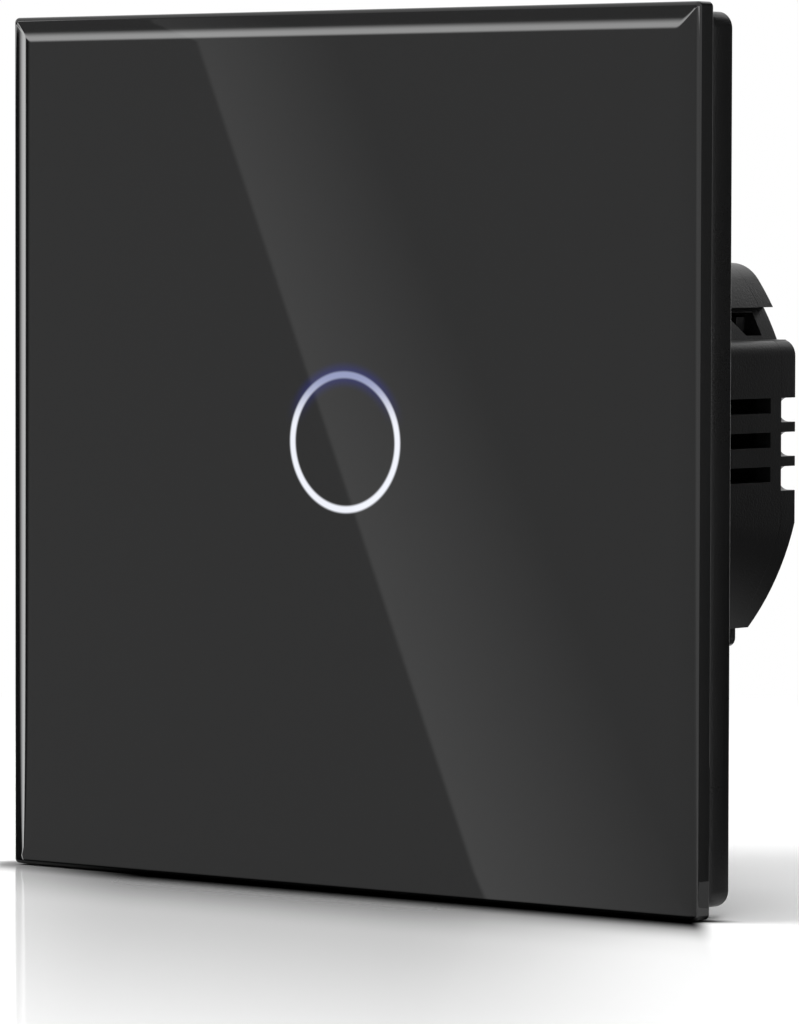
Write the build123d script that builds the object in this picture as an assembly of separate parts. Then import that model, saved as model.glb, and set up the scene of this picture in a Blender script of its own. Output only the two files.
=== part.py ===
from build123d import *
import math
import os

# Touch light switch for a round wall box with screws 60 mm apart. Lengths are millimetres.
# X runs to the right, Y into the wall and Z up. The wall is the plane y = 0, and the middle
# of the glass lies on the Y axis, so what stands in front of the wall has negative y.

# Clip-on panel: glass, tape and plastic frame.
panel_side = 86.0
glass_thickness = 2.5
glass_corner_radius = 1.0
glass_facet_width = 2.0
glass_facet_depth = 0.35
glass_facet_corner = 0.3
glass_back_arris = 0.25
tape_thickness = 0.3
tape_width = 6.0
tape_margin = 0.5
frame_inset = 0.8
frame_corner_radius = 1.6
frame_depth = 3.8
frame_face_thickness = 1.2
frame_wall = 1.6
frame_lead_in_width = 0.8
frame_lead_in_depth = 1.2
frame_opening_side = 58.0
frame_opening_radius = 8.0
panel_wall_gap = 0.3
pry_notch_width = 10.0
pry_notch_depth = 1.2
clip_thickness = 1.2
clip_width = 8.0
clip_offset = 20.0
clip_plate_gap = 0.7
clip_bump = 0.3
clip_bump_depth = 0.8

# Steel mounting plate.
plate_side = 71.0
plate_thickness = 1.0
plate_corner_radius = 4.0
plate_lip_height = 1.3
plate_lip_length = 56.0
wall_screw_spacing = 60.0
wall_slot_width = 3.6
upright_slot_length = 8.0
side_slot_length = 5.4
housing_seat_depth = 0.3
housing_seat_clearance = 0.2

# Front cover, light guide and touch electrode. The lit ring is a little above the middle.
sensor_z = 0.9
cover_radius = 26.6
cover_half_height = 18.0
cover_thickness = 1.4
cover_boss_radius = 20.2
cover_boss_wall = 1.6
plate_boss_clearance = 0.3
guide_ring_radius = 6.55
guide_ring_width = 0.9
guide_hole_clearance = 0.1
guide_glass_gap = 0.4
guide_flange_width = 1.6
guide_flange_thickness = 0.8
guide_led_gap = 0.4
guide_leg_width = 1.0
spring_coil_radius = 2.6
spring_wire_radius = 0.3
spring_pitch = 1.3
spring_glass_gap = 0.3

# Touch board, in front inside the housing.
touch_board_front = 2.0
touch_board_thickness = 1.2
board_clearance = 0.3
led_count = 4
led_length = 1.6
led_width = 0.8
led_height = 0.7
touch_chip_side = 5.0
touch_chip_height = 1.2
touch_chip_x = -9.5

# Pin header that joins the two boards.
header_pins = 6
header_pin_spacing = 2.54
header_body_width = 2.5
header_body_height = 2.5
header_pin_side = 0.64
header_pin_entry = 3.5
socket_height = 7.5
socket_hole_side = 0.9
socket_hole_depth = 4.0
header_z = 13.1

# Round rear housing and its snap-on rear cover.
module_radius = 28.0
module_side_flat = 27.0
module_top_flat = 18.4
module_bottom_flat = 18.1
module_shoulder_radius = 4.0
housing_depth = 29.3
housing_wall = 1.8
rear_cover_thickness = 2.4
side_block_top = 10.8
side_block_corner = 1.6
recess_top = 14.0
recess_depth = 1.0
recess_length = 7.3
vent_count = 3
vent_pitch = 3.4
vent_top = 5.05
vent_height = 1.5
vent_length = 12.5
vent_end_wall = 1.8
cover_notch_width = 2.4
cover_notch_depth = 2.0
window_length = 5.8
window_top = 13.5
window_bottom = 11.2
window_slope = 1.6
hook_thickness = 1.3
hook_height = 1.4
hook_clearance = 0.3
hook_catch_depth = 1.2
prise_lug_width = 5.8
prise_lug_height = 2.0
prise_lug_reach = 19.8
prise_lug_corner = 0.9

# Housing screws and the posts they enter.
post_x = 19.3
post_z = 13.4
post_radius = 2.9
screw_radius = 1.25
screw_length = 9.5
screw_head_radius = 2.35
screw_head_depth = 0.9
screw_clearance = 0.2
pilot_clearance = 0.05
pilot_extra_depth = 1.0
screw_recess_depth = 0.5
screw_recess_width = 0.6
screw_recess_length = 2.8
rib_width = 8.0
rib_height = 2.0
pillar_radius = 1.6
pillar_x = 16.0
pillar_z = 8.5

# Power board and its parts.
power_board_thickness = 1.6
relay_size = (19.0, 10.0, 15.0)
relay_place = (-11.0, 2.3)
electrolytic_radius = 5.0
electrolytic_height = 11.0
electrolytic_place = (13.5, 6.5)
film_capacitor_size = (13.0, 9.0, 5.0)
film_capacitor_place = (10.0, -4.7)
varistor_radius = 4.2
varistor_thickness = 3.6
varistor_place = (-9.0, -9.2)
lead_length = 1.2
lead_side = 0.7
lead_spread = 2.5
inductor_radius = 3.6
inductor_core_radius = 2.5
inductor_height = 7.5
inductor_flange = 1.3
inductor_place = (8.5, -11.8)
fuse_radius = 1.4
fuse_length = 8.0
fuse_place = (-10.5, -13.9)
rectifier_size = (4.5, 2.4, 4.5)
rectifier_place = (20.6, -4.3)
case_edge = 0.6

# Rising-cage terminals: a screw turned from the rear draws its cage towards the rear.
terminal_count = 3
terminal_pitch = 9.0
terminal_z = -11.5
terminal_block_margin = 1.0
terminal_floor = 0.8
entry_face_inset = 0.4
entry_window_clearance = 0.2
cage_width = 6.0
cage_length = 5.0
cage_wall = 0.7
cage_top_wall = 0.9
cage_side_clearance = 0.4
cage_end_clearance = 0.3
cage_travel = 1.7
wire_gap = 2.4
bar_thickness = 0.8
bar_width = 3.6
bar_slot_clearance = 0.1
terminal_screw_radius = 1.5
terminal_screw_head_radius = 2.5
terminal_screw_head_height = 1.0
terminal_screw_slot_width = 0.8
terminal_screw_slot_depth = 0.5
terminal_head_clearance = 0.1
terminal_cover_clearance = 0.4
terminal_running_clearance = 0.05
wire_hole_radius = 1.75
cover_screw_hole_radius = 2.2

# Depths that follow from the sizes above.
frame_back = -panel_wall_gap
frame_front = frame_back - frame_depth
glass_back = frame_front - tape_thickness
glass_front = glass_back - glass_thickness
frame_side = panel_side - 2 * frame_inset
frame_face_back = frame_front + frame_face_thickness
plate_front = -plate_thickness
cover_front = plate_front - cover_thickness
housing_front = -housing_seat_depth
touch_board_back = touch_board_front + touch_board_thickness
rear_cover_back = housing_depth + rear_cover_thickness
recess_front = housing_depth - recess_length
vent_back = housing_depth - vent_end_wall
vent_front = vent_back - vent_length
window_front = housing_depth - window_length
plate_opening_radius = cover_boss_radius + plate_boss_clearance
guide_outer_radius = guide_ring_radius + guide_ring_width / 2
guide_inner_radius = guide_ring_radius - guide_ring_width / 2
pilot_radius = screw_radius + pilot_clearance
header_length = header_pins * header_pin_spacing

# The terminals are stacked forwards from the rear cover, and the power board carries them.
terminal_head_back = housing_depth - terminal_cover_clearance
terminal_head_front = terminal_head_back - terminal_screw_head_height
terminal_cavity_back = terminal_head_front - terminal_head_clearance
cage_top_back = terminal_cavity_back - cage_end_clearance - cage_travel
cage_top_front = cage_top_back - cage_top_wall
bar_back = cage_top_front - cage_end_clearance
bar_front = bar_back - bar_thickness
cage_floor_back = bar_front - wire_gap
cage_floor_front = cage_floor_back - cage_wall
terminal_cavity_front = cage_floor_front - cage_end_clearance
power_board_back = terminal_cavity_front - terminal_floor
power_board_front = power_board_back - power_board_thickness
socket_front = power_board_front - socket_height
wire_hole_y = (cage_floor_back + bar_front) / 2
terminal_half_x = cage_width / 2 + cage_side_clearance
terminal_half_z = cage_length / 2 + cage_side_clearance
terminal_row_half = (terminal_count - 1) * terminal_pitch / 2
terminal_block_half_width = terminal_row_half + terminal_half_x + terminal_block_margin
terminal_block_bottom = entry_face_inset - module_bottom_flat

post_places = [(x, z) for x in (-post_x, post_x) for z in (-post_z, post_z)]
terminal_places = [(index - (terminal_count - 1) / 2) * terminal_pitch for index in range(terminal_count)]


def slab(outline, front, back):
    """A straight piece: an outline drawn in x and z, from depth front to depth back."""
    return extrude(Plane.XZ.offset(-back) * outline, back - front)


def block(x_range, y_range, z_range):
    """A box between two x, two y and two z values."""
    spans = (x_range, y_range, z_range)
    middle = [sum(span) / 2 for span in spans]
    size = [max(span) - min(span) for span in spans]
    return Pos(*middle) * Box(*size)


def rod(radius, place, front, back):
    """A round piece along Y, centred at place, an x and a z."""
    return slab(Pos(*place) * Circle(radius), front, back)


def board_part(size, place):
    """A box of width, depth and height that stands on the front of the power board."""
    width, depth, height = size
    x, z = place
    span_y = (power_board_front - depth, power_board_front)
    return block((x - width / 2, x + width / 2), span_y, (z - height / 2, z + height / 2))


def rounded_square(side, radius):
    return RectangleRounded(side, side, radius)


def tapered_square(front, front_side, front_radius, back, back_side, back_radius):
    """A square piece that grows evenly from its front outline to its back outline."""
    front_face = Plane.XZ.offset(-front) * rounded_square(front_side, front_radius)
    back_face = Plane.XZ.offset(-back) * rounded_square(back_side, back_radius)
    return loft([front_face, back_face])


# Glass panel: one square pane with a shallow polished facet round its front.
def glass_panel():
    facet_side = panel_side - 2 * glass_facet_width
    facet_back = glass_front + glass_facet_depth
    arris_front = glass_back - glass_back_arris
    arris_side = panel_side - 2 * glass_back_arris
    arris_radius = glass_corner_radius - glass_back_arris
    facet = tapered_square(
        glass_front, facet_side, glass_facet_corner, facet_back, panel_side, glass_corner_radius)
    middle = slab(rounded_square(panel_side, glass_corner_radius), facet_back, arris_front)
    arris = tapered_square(
        arris_front, panel_side, glass_corner_radius, glass_back, arris_side, arris_radius)
    return facet + middle + arris


# Tape: a square ring of double-sided foam between the glass and the frame.
def adhesive_tape():
    outer = frame_side - 2 * (frame_lead_in_width + tape_margin)
    inner = outer - 2 * tape_width
    ring = rounded_square(outer, frame_corner_radius) - rounded_square(inner, frame_corner_radius)
    return slab(ring, glass_back, frame_front)


# Panel frame: a shallow tray with an open middle, four clip arms and a notch to prise it off.
def clip_arm(side, z):
    inner = plate_side / 2 + clip_plate_gap
    arm = block(
        (side * inner, side * (inner + clip_thickness)), (frame_face_back, frame_back),
        (z - clip_width / 2, z + clip_width / 2))
    bump = block(
        (side * (inner - clip_bump), side * inner), (frame_back - clip_bump_depth, frame_back),
        (z - clip_width / 2, z + clip_width / 2))
    return arm + bump


def panel_frame():
    lead_in_back = frame_front + frame_lead_in_depth
    front_side = frame_side - 2 * frame_lead_in_width
    front_radius = frame_corner_radius - frame_lead_in_width
    inner_side = frame_side - 2 * frame_wall
    body = slab(rounded_square(frame_side, frame_corner_radius), lead_in_back, frame_back)
    body += tapered_square(
        frame_front, front_side, front_radius, lead_in_back, frame_side, frame_corner_radius)
    body -= slab(rounded_square(inner_side, frame_corner_radius / 2), frame_face_back, frame_back)
    body -= slab(
        rounded_square(frame_opening_side, frame_opening_radius), frame_front, frame_face_back)
    half_notch = pry_notch_width / 2
    body -= block(
        (-half_notch, half_notch), (frame_back - pry_notch_depth, frame_back),
        (-frame_side / 2, -inner_side / 2))
    for side in (-1, 1):
        for z in (-clip_offset, clip_offset):
            body += clip_arm(side, z)
    return body


# Mounting plate: pressed steel with lips at the top and bottom and four wall screw slots. The
# housing stands in a shallow seat in its back, and the rest of the back lies on the wall.
def mounting_plate():
    outline = rounded_square(plate_side, plate_corner_radius) - Circle(plate_opening_radius)
    for angle in (0, 90, 180, 270):
        length = upright_slot_length if angle % 180 else side_slot_length
        slot = SlotOverall(length, wall_slot_width)
        outline -= Rot(0, 0, angle) * Pos(wall_screw_spacing / 2, 0) * slot
    for place in post_places:
        outline -= Pos(*place) * Circle(screw_radius + screw_clearance)
    body = slab(outline, plate_front, 0)
    body -= slab(offset(housing_section(), housing_seat_clearance), housing_front, 0)
    half_side = plate_side / 2
    half_lip = plate_lip_length / 2
    for side in (-1, 1):
        body += block(
            (-half_lip, half_lip), (plate_front - plate_lip_height, plate_front),
            (side * (half_side - plate_thickness), side * half_side))
    return body


# Front cover: a round cap with flats, clamped over the plate, whose boss holds the touch board.
def front_cover():
    flats = Rectangle(2 * cover_radius, 2 * cover_half_height)
    face = slab(Circle(cover_radius) & flats, cover_front, plate_front)
    boss = Circle(cover_boss_radius) & board_outline()
    boss_inside = module_section(housing_wall + board_clearance + cover_boss_wall)
    boss -= Circle(cover_boss_radius - cover_boss_wall) & boss_inside
    body = face + slab(boss, plate_front, touch_board_front)
    hole_radius = guide_outer_radius + guide_hole_clearance
    body -= rod(hole_radius, (0, sensor_z), cover_front, plate_front)
    for place in post_places:
        body -= rod(screw_radius + screw_clearance, place, cover_front, plate_front)
        head_seat_radius = screw_head_radius + screw_clearance
        body -= rod(head_seat_radius, place, cover_front, cover_front + screw_head_depth)
    return body


# Light guide: a clear ring that carries light to the glass, with a flange and two feet.
def light_guide():
    flange_back = plate_front + guide_flange_thickness
    led_front = touch_board_front - led_height
    ring = Circle(guide_outer_radius) - Circle(guide_inner_radius)
    flange_radius = guide_outer_radius + guide_flange_width
    flange = Circle(flange_radius) - Circle(guide_inner_radius)
    body = slab(ring, glass_back + guide_glass_gap, led_front - guide_led_gap)
    body += slab(flange, plate_front, flange_back)
    half_leg = guide_leg_width / 2
    leg_inner = flange_radius - guide_leg_width
    for side in (-1, 1):
        body += block(
            (side * leg_inner, side * flange_radius), (plate_front, touch_board_front),
            (-half_leg, half_leg))
    return Pos(0, 0, sensor_z) * body


# Touch spring: the wire coil that stands on the touch board behind the middle of the glass.
def touch_spring():
    front = glass_back + spring_glass_gap + spring_wire_radius
    back = touch_board_front - spring_wire_radius
    path = Helix(spring_pitch, back - front, spring_coil_radius)
    start = Plane(path @ 0, z_dir=path % 0)
    coil = sweep(start * Circle(spring_wire_radius), path)
    coil = Pos(0, back, sensor_z) * Rot(90, 0, 0) * coil
    rings = [
        Pos(0, y, sensor_z) * Rot(90, 0, 0) * Torus(spring_coil_radius, spring_wire_radius)
        for y in (front, back)]
    return coil + rings[0] + rings[1]


# Boards: each follows the inside of the housing, and the touch board clears the four posts.
def board_outline():
    return module_section(housing_wall + board_clearance)


def touch_board():
    outline = board_outline()
    for place in post_places:
        outline -= Pos(*place) * Circle(post_radius + board_clearance)
    return slab(outline, touch_board_front, touch_board_back)


def power_board():
    return slab(board_outline(), power_board_front, power_board_back)


# Small parts of the touch board: the lamps under the light guide and the touch chip.
def indicator_leds():
    lamp = block(
        (guide_ring_radius - led_width / 2, guide_ring_radius + led_width / 2),
        (touch_board_front - led_height, touch_board_front), (-led_length / 2, led_length / 2))
    turns = [45 + index * 360 / led_count for index in range(led_count)]
    lamps = [Pos(0, 0, sensor_z) * Rot(0, turn, 0) * lamp for turn in turns]
    return Compound(children=lamps)


def touch_chip():
    half = touch_chip_side / 2
    span_x = (touch_chip_x - half, touch_chip_x + half)
    return block(span_x, (touch_board_back, touch_board_back + touch_chip_height), (-half, half))


# Pin header and socket: the header hangs on the touch board, the socket stands on the power board.
def pin_places():
    return [(index - (header_pins - 1) / 2) * header_pin_spacing for index in range(header_pins)]


def pin_header():
    body_back = touch_board_back + header_body_height
    half_length = header_length / 2
    span_z = (header_z - header_body_width / 2, header_z + header_body_width / 2)
    body = block((-half_length, half_length), (touch_board_back, body_back), span_z)
    half_pin = header_pin_side / 2
    for x in pin_places():
        body += block(
            (x - half_pin, x + half_pin), (body_back, socket_front + header_pin_entry),
            (header_z - half_pin, header_z + half_pin))
    return body


def header_socket():
    half_length = header_length / 2
    span_z = (header_z - header_body_width / 2, header_z + header_body_width / 2)
    body = block((-half_length, half_length), (socket_front, power_board_front), span_z)
    half_hole = socket_hole_side / 2
    for x in pin_places():
        body -= block(
            (x - half_hole, x + half_hole), (socket_front, socket_front + socket_hole_depth),
            (header_z - half_hole, header_z + half_hole))
    return body


# Parts of the power board, all on its front.
def relay():
    body = board_part(relay_size, relay_place)
    return chamfer(body.faces().sort_by(Axis.Y)[0].edges(), case_edge)


def electrolytic_capacitor():
    front = power_board_front - electrolytic_height
    can = rod(electrolytic_radius, electrolytic_place, front, power_board_front)
    return fillet(can.faces().sort_by(Axis.Y)[0].edges(), case_edge)


def film_capacitor():
    body = board_part(film_capacitor_size, film_capacitor_place)
    return chamfer(body.faces().sort_by(Axis.Y)[0].edges(), case_edge)


def varistor():
    x, z = varistor_place
    centre_y = power_board_front - lead_length - varistor_radius
    disc = Pos(x, centre_y, z) * Cylinder(varistor_radius, varistor_thickness)
    disc = fillet(disc.edges(), case_edge)
    half_lead = lead_side / 2
    for side in (-1, 1):
        lead_x = x + side * lead_spread
        disc += block(
            (lead_x - half_lead, lead_x + half_lead), (centre_y, power_board_front),
            (z - half_lead, z + half_lead))
    return disc


def inductor():
    front = power_board_front - inductor_height
    body = rod(inductor_core_radius, inductor_place, front, power_board_front)
    body += rod(inductor_radius, inductor_place, front, front + inductor_flange)
    body += rod(
        inductor_radius, inductor_place, power_board_front - inductor_flange, power_board_front)
    return body


def fuse_resistor():
    x, z = fuse_place
    centre_y = power_board_front - fuse_radius
    body = Pos(x, centre_y, z) * Rot(0, 90, 0) * Cylinder(fuse_radius, fuse_length)
    half_lead = lead_side / 2
    for side in (-1, 1):
        end = x + side * fuse_length / 2
        body += block(
            (end, end + side * lead_side), (centre_y - half_lead, power_board_front),
            (z - half_lead, z + half_lead))
    return body


def rectifier():
    return board_part(rectifier_size, rectifier_place)


# Housing outline: a circle cut by four flats, with a proud block on each side.
def module_section(inset):
    top = module_top_flat - inset
    bottom = module_bottom_flat - inset
    flats = Pos(0, (top - bottom) / 2) * Rectangle(2 * (module_side_flat - inset), top + bottom)
    section = Circle(module_radius - inset) & flats
    top_corners = section.vertices().sort_by(Axis.Y)[-2:]
    return fillet(top_corners, module_shoulder_radius)


def housing_section():
    side_block = Pos(0, side_block_top / 2) * Rectangle(2 * module_side_flat, side_block_top)
    side_block = fillet(side_block.vertices().sort_by(Axis.Y)[-2:], side_block_corner)
    return module_section(0) + side_block


def recess_section():
    """The band above the side blocks that is cut away to a smaller circle."""
    band_middle = (side_block_top + recess_top) / 2
    band = Pos(0, band_middle) * Rectangle(2 * module_radius, recess_top - side_block_top)
    return band - Circle(module_radius - recess_depth)


def vent_centres(height):
    """The heights of a row of openings of this height, whose tops line up with the vents."""
    return [vent_top - height / 2 - index * vent_pitch for index in range(vent_count)]


# Rear housing: a tube with screw posts, board ribs, side vents and hook windows, open at the
# bottom where the terminal block shows.
def hook_window(side):
    slope_front = window_front + window_slope
    outline = Polyline(
        (window_front, window_top), (housing_depth, window_top), (housing_depth, window_bottom),
        (slope_front + window_slope, window_bottom), (slope_front, window_bottom + window_slope),
        (window_front, window_bottom + window_slope), close=True)
    cutter = extrude(Plane.YZ * make_face(outline), module_radius)
    return cutter if side > 0 else mirror(cutter, Plane.YZ)


def rear_housing():
    body = slab(housing_section(), housing_front, housing_depth)
    body -= slab(recess_section(), recess_front, housing_depth)
    body -= slab(module_section(housing_wall), housing_front, housing_depth)
    rib_reach = housing_wall + rib_height
    for wall, edge in (
            (module_top_flat, module_top_flat - rib_reach),
            (-module_bottom_flat, rib_reach - module_bottom_flat)):
        body += block(
            (-rib_width / 2, rib_width / 2), (touch_board_back, power_board_front), (wall, edge))
    for place in post_places:
        body += rod(post_radius, place, housing_front, power_board_front)
        body -= rod(pilot_radius, place, housing_front, screw_length + pilot_extra_depth)
    for side in (-1, 1):
        wall_span = (side * (module_side_flat - 2 * housing_wall), side * module_radius)
        for z in vent_centres(vent_height):
            body -= block(wall_span, (vent_front, vent_back), (z - vent_height / 2, z + vent_height / 2))
        body -= hook_window(side)
    half_window = terminal_block_half_width + entry_window_clearance
    body -= block(
        (-half_window, half_window), (power_board_back - entry_window_clearance, housing_depth),
        (-module_bottom_flat, housing_wall - module_bottom_flat))
    return body


# Rear cover: the lid of the housing, with edge notches, screw holes, pillars, hooks and lugs.
def edge_notch(side, z):
    radius = cover_notch_width / 2
    inner = module_side_flat - cover_notch_depth
    straight = Pos(side * (inner + radius + module_radius) / 2, z)
    notch = straight * Rectangle(module_radius - inner - radius, cover_notch_width)
    return notch + Pos(side * (inner + radius), z) * Circle(radius)


def cover_hook(side):
    middle = (window_top + window_bottom) / 2
    span_z = (middle - hook_height / 2, middle + hook_height / 2)
    wall_inner = math.sqrt((module_radius - housing_wall) ** 2 - span_z[1] ** 2)
    outer = wall_inner - hook_clearance
    catch_outer = math.sqrt((module_radius - recess_depth) ** 2 - span_z[1] ** 2) - hook_clearance
    front = window_front + 2 * window_slope
    arm = block((side * (outer - hook_thickness), side * outer), (front, housing_depth), span_z)
    catch = block((side * outer, side * catch_outer), (front, front + hook_catch_depth), span_z)
    return arm + catch


def prise_lug(side):
    outline = Pos(
        side * (prise_lug_reach - prise_lug_width / 2), -module_bottom_flat) * Rectangle(
        prise_lug_width, 2 * prise_lug_height)
    outline = fillet(outline.vertices().sort_by(Axis.Y)[:2], prise_lug_corner)
    return slab(outline, housing_depth, rear_cover_back)


def rear_cover():
    outline = housing_section() - recess_section()
    for side in (-1, 1):
        for z in vent_centres(cover_notch_width):
            outline -= edge_notch(side, z)
    for x in terminal_places:
        outline -= Pos(x, terminal_z) * Circle(cover_screw_hole_radius)
    body = slab(outline, housing_depth, rear_cover_back)
    for side in (-1, 1):
        body += rod(pillar_radius, (side * pillar_x, pillar_z), power_board_back, housing_depth)
        body += cover_hook(side)
        body += prise_lug(side)
    return body


# Housing screws: four alike, through the front cover and the plate into the posts.
def housing_screws():
    head_back = cover_front + screw_head_depth
    screws = []
    for place in post_places:
        head = rod(screw_head_radius, place, cover_front, head_back)
        shank = rod(screw_radius, place, head_back, head_back + screw_length)
        screw = head + shank
        for turn in (0, 90):
            bar = Pos(*place) * Rot(0, 0, turn) * Rectangle(screw_recess_length, screw_recess_width)
            screw -= slab(bar, cover_front, cover_front + screw_recess_depth)
        screws.append(screw)
    return Compound(children=screws)


# Terminal block: one moulding with a chamber for each cage and a bore for each screw head. Its
# lower face, with the wire holes, fills the gap in the housing's lower wall.
def terminal_block():
    slot_top = bar_leg_top() + bar_slot_clearance
    top = bar_leg_top() + terminal_block_margin
    body = block(
        (-terminal_block_half_width, terminal_block_half_width),
        (power_board_back, housing_depth), (terminal_block_bottom, top))
    head_bore = terminal_screw_head_radius + terminal_running_clearance
    slot_half = bar_width / 2 + bar_slot_clearance
    hole_length = terminal_z - terminal_half_z - terminal_block_bottom
    hole_middle = terminal_block_bottom + hole_length / 2
    for x in terminal_places:
        body -= block(
            (x - terminal_half_x, x + terminal_half_x),
            (terminal_cavity_front, terminal_cavity_back),
            (terminal_z - terminal_half_z, terminal_z + terminal_half_z))
        body -= rod(head_bore, (x, terminal_z), terminal_cavity_back, housing_depth)
        body -= block(
            (x - slot_half, x + slot_half), (power_board_back, bar_back + bar_slot_clearance),
            (terminal_z + terminal_half_z, slot_top))
        body -= Pos(x, wire_hole_y, hole_middle) * Cylinder(wire_hole_radius, hole_length)
    return body


# Contact bars: a flat bar through each cage, with a leg that stands on the power board.
def bar_leg_top():
    return terminal_z + terminal_half_z + 2 * bar_thickness


def contact_bars():
    bars = []
    leg_top = bar_leg_top()
    for x in terminal_places:
        span_x = (x - bar_width / 2, x + bar_width / 2)
        bar = block(span_x, (bar_front, bar_back), (terminal_z - cage_length / 2, leg_top))
        leg = block(span_x, (power_board_back, bar_back), (leg_top - bar_thickness, leg_top))
        bars.append(bar + leg)
    return Compound(children=bars)


# Clamp cage: an open box round the contact bar, whose rear wall is threaded on the screw.
def clamp_cage(x):
    half_x = cage_width / 2
    half_z = cage_length / 2
    span_z = (terminal_z - half_z, terminal_z + half_z)
    body = block((x - half_x, x + half_x), (cage_floor_front, cage_top_back), span_z)
    inner = half_x - cage_wall
    body -= block((x - inner, x + inner), (cage_floor_back, cage_top_front), span_z)
    thread_radius = terminal_screw_radius + terminal_running_clearance
    body -= rod(thread_radius, (x, terminal_z), cage_top_front, cage_top_back)
    return body


def terminal_screw(x):
    place = (x, terminal_z)
    screw = rod(terminal_screw_head_radius, place, terminal_head_front, terminal_head_back)
    screw += rod(terminal_screw_radius, place, cage_top_front, terminal_head_front)
    slot = Pos(*place) * Rectangle(2 * terminal_screw_head_radius, terminal_screw_slot_width)
    screw -= slab(slot, terminal_head_back - terminal_screw_slot_depth, terminal_head_back)
    return screw


parts = {
    "glass_panel": glass_panel(),
    "adhesive_tape": adhesive_tape(),
    "panel_frame": panel_frame(),
    "mounting_plate": mounting_plate(),
    "front_cover": front_cover(),
    "light_guide": light_guide(),
    "touch_spring": touch_spring(),
    "touch_board": touch_board(),
    "indicator_leds": indicator_leds(),
    "touch_chip": touch_chip(),
    "pin_header": pin_header(),
    "header_socket": header_socket(),
    "power_board": power_board(),
    "relay": relay(),
    "electrolytic_capacitor": electrolytic_capacitor(),
    "film_capacitor": film_capacitor(),
    "varistor": varistor(),
    "inductor": inductor(),
    "fuse_resistor": fuse_resistor(),
    "rectifier": rectifier(),
    "rear_housing": rear_housing(),
    "rear_cover": rear_cover(),
    "housing_screws": housing_screws(),
    "terminal_block": terminal_block(),
    "contact_bars": contact_bars(),
}
for number, x in enumerate(terminal_places, start=1):
    parts[f"clamp_cage_{number}"] = clamp_cage(x)
    parts[f"terminal_screw_{number}"] = terminal_screw(x)

os.makedirs("parts", exist_ok=True)
for name, shape in parts.items():
    export_step(shape, f"parts/{name}.step")
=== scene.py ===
import math
import bmesh
import bpy
from mathutils import Matrix, Vector


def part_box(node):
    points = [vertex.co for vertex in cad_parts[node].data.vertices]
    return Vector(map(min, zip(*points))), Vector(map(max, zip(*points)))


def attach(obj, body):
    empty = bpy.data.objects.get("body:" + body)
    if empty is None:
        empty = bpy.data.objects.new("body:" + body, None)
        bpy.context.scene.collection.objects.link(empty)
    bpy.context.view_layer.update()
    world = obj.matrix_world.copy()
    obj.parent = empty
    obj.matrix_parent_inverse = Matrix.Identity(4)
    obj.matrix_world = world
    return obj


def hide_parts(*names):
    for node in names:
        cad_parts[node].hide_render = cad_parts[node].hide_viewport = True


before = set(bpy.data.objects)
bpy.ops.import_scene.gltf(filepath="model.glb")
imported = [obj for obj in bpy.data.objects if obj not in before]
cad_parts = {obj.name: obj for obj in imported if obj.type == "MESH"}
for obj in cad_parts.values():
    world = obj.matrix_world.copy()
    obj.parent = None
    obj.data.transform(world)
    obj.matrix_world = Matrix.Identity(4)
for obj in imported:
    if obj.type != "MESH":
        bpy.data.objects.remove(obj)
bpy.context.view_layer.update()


# Rear housing and its snap-on cover: black polycarbonate, injection moulded with a fine matt
# grain. The cover's hooks snap into the windows in the housing's sides.
class Term:
    """A socket of a finish, so that shader maths reads as plain expressions."""

    def __init__(self, finish, socket):
        self.finish = finish
        self.socket = socket

    def maths(self, operation, *terms):
        return self.finish.node(
            "ShaderNodeMath", {"operation": operation}, dict(enumerate(terms)))

    def __add__(self, other):
        return self.maths("ADD", self, other)

    def __radd__(self, other):
        return self.maths("ADD", other, self)

    def __sub__(self, other):
        return self.maths("SUBTRACT", self, other)

    def __rsub__(self, other):
        return self.maths("SUBTRACT", other, self)

    def __mul__(self, other):
        return self.maths("MULTIPLY", self, other)

    def __rmul__(self, other):
        return self.maths("MULTIPLY", other, self)

    def __truediv__(self, other):
        return self.maths("DIVIDE", self, other)

    def __pow__(self, power):
        return self.maths("POWER", self, power)

    def __abs__(self):
        return self.maths("ABSOLUTE", self)

    def lower(self, other):
        return self.maths("MINIMUM", self, other)

    def higher(self, other):
        return self.maths("MAXIMUM", self, other)

    def rise(self, low, high, bottom=0.0, top=1.0):
        """Runs smoothly from bottom to top while this value goes from low to high."""
        return self.finish.node(
            "ShaderNodeMapRange", {"interpolation_type": "SMOOTHSTEP"},
            {0: self, 1: low, 2: high, 3: bottom, 4: top})


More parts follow.
